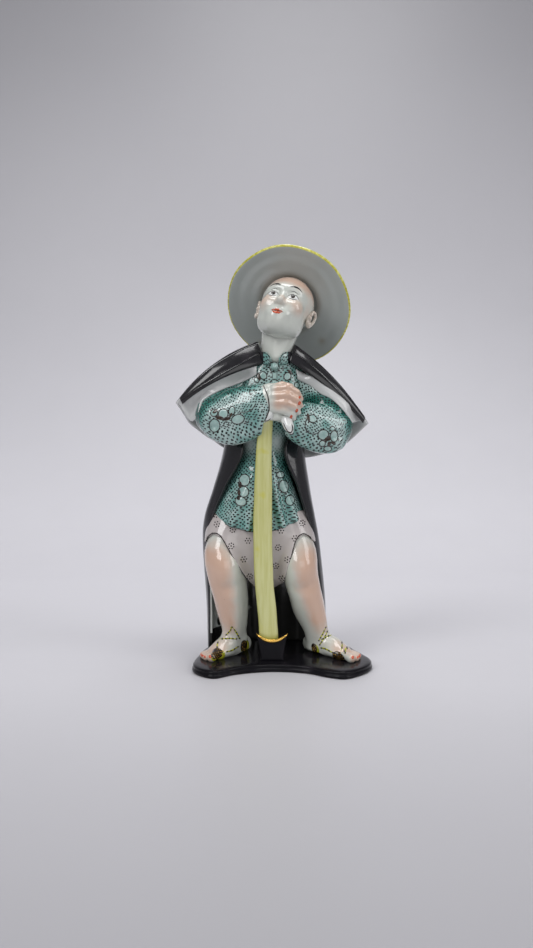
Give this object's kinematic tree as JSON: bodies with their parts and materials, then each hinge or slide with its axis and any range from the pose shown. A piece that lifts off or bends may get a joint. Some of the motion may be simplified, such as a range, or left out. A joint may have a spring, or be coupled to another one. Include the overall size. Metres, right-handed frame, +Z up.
{
  "type": "porcelain figurine",
  "caption": "Slip-cast porcelain figure of a man in a wide hat and a cloak, both hands on the shaft of a spade, standing on a thin shaped plinth.",
  "frame": {"origin": "middle of the plinth's flat underside", "axes": "+Z up, -Y towards the front of the figure, +X to the viewer's right, which is the figure's left"},
  "size_m": [0.11, 0.0808, 0.2343],
  "materials": {
    "plinth_glaze": "gloss black glaze",
    "gilding": "burnished fired gilding",
    "yellow_glaze": "gloss yellow glaze, brushed on",
    "hat_glaze": "gloss pale grey-green glaze",
    "flesh_enamel": "gloss glaze with a pink blush",
    "cloak_glaze": "gloss black glaze, white lining",
    "lining_glaze": "gloss white glaze",
    "jacket_enamel": "gloss teal enamel with painted dots",
    "trouser_glaze": "gloss lilac-grey glaze with painted rosettes"
  },
  "bodies": {
    "root": {"plinth": "plinth_glaze", "spade_socket": "plinth_glaze", "spade_lip": "gilding", "spade_shaft": "yellow_glaze", "hat": "hat_glaze", "head": "flesh_enamel", "right_ear": "flesh_enamel", "left_ear": "flesh_enamel", "neck": "flesh_enamel", "cape": "cloak_glaze", "right_collar": "jacket_enamel", "left_collar": "jacket_enamel", "upper_hand": "flesh_enamel", "lower_hand": "flesh_enamel", "right_cuff": "lining_glaze", "left_cuff": "lining_glaze", "right_lapel": "cloak_glaze", "left_lapel": "cloak_glaze", "upper_button": "jacket_enamel", "lower_button": "jacket_enamel", "right_sleeve": "jacket_enamel", "left_sleeve": "jacket_enamel", "cloak": "cloak_glaze", "jacket": "jacket_enamel", "trousers": "trouser_glaze", "right_leg": "flesh_enamel", "left_leg": "flesh_enamel"}
  },
  "joints": []
}
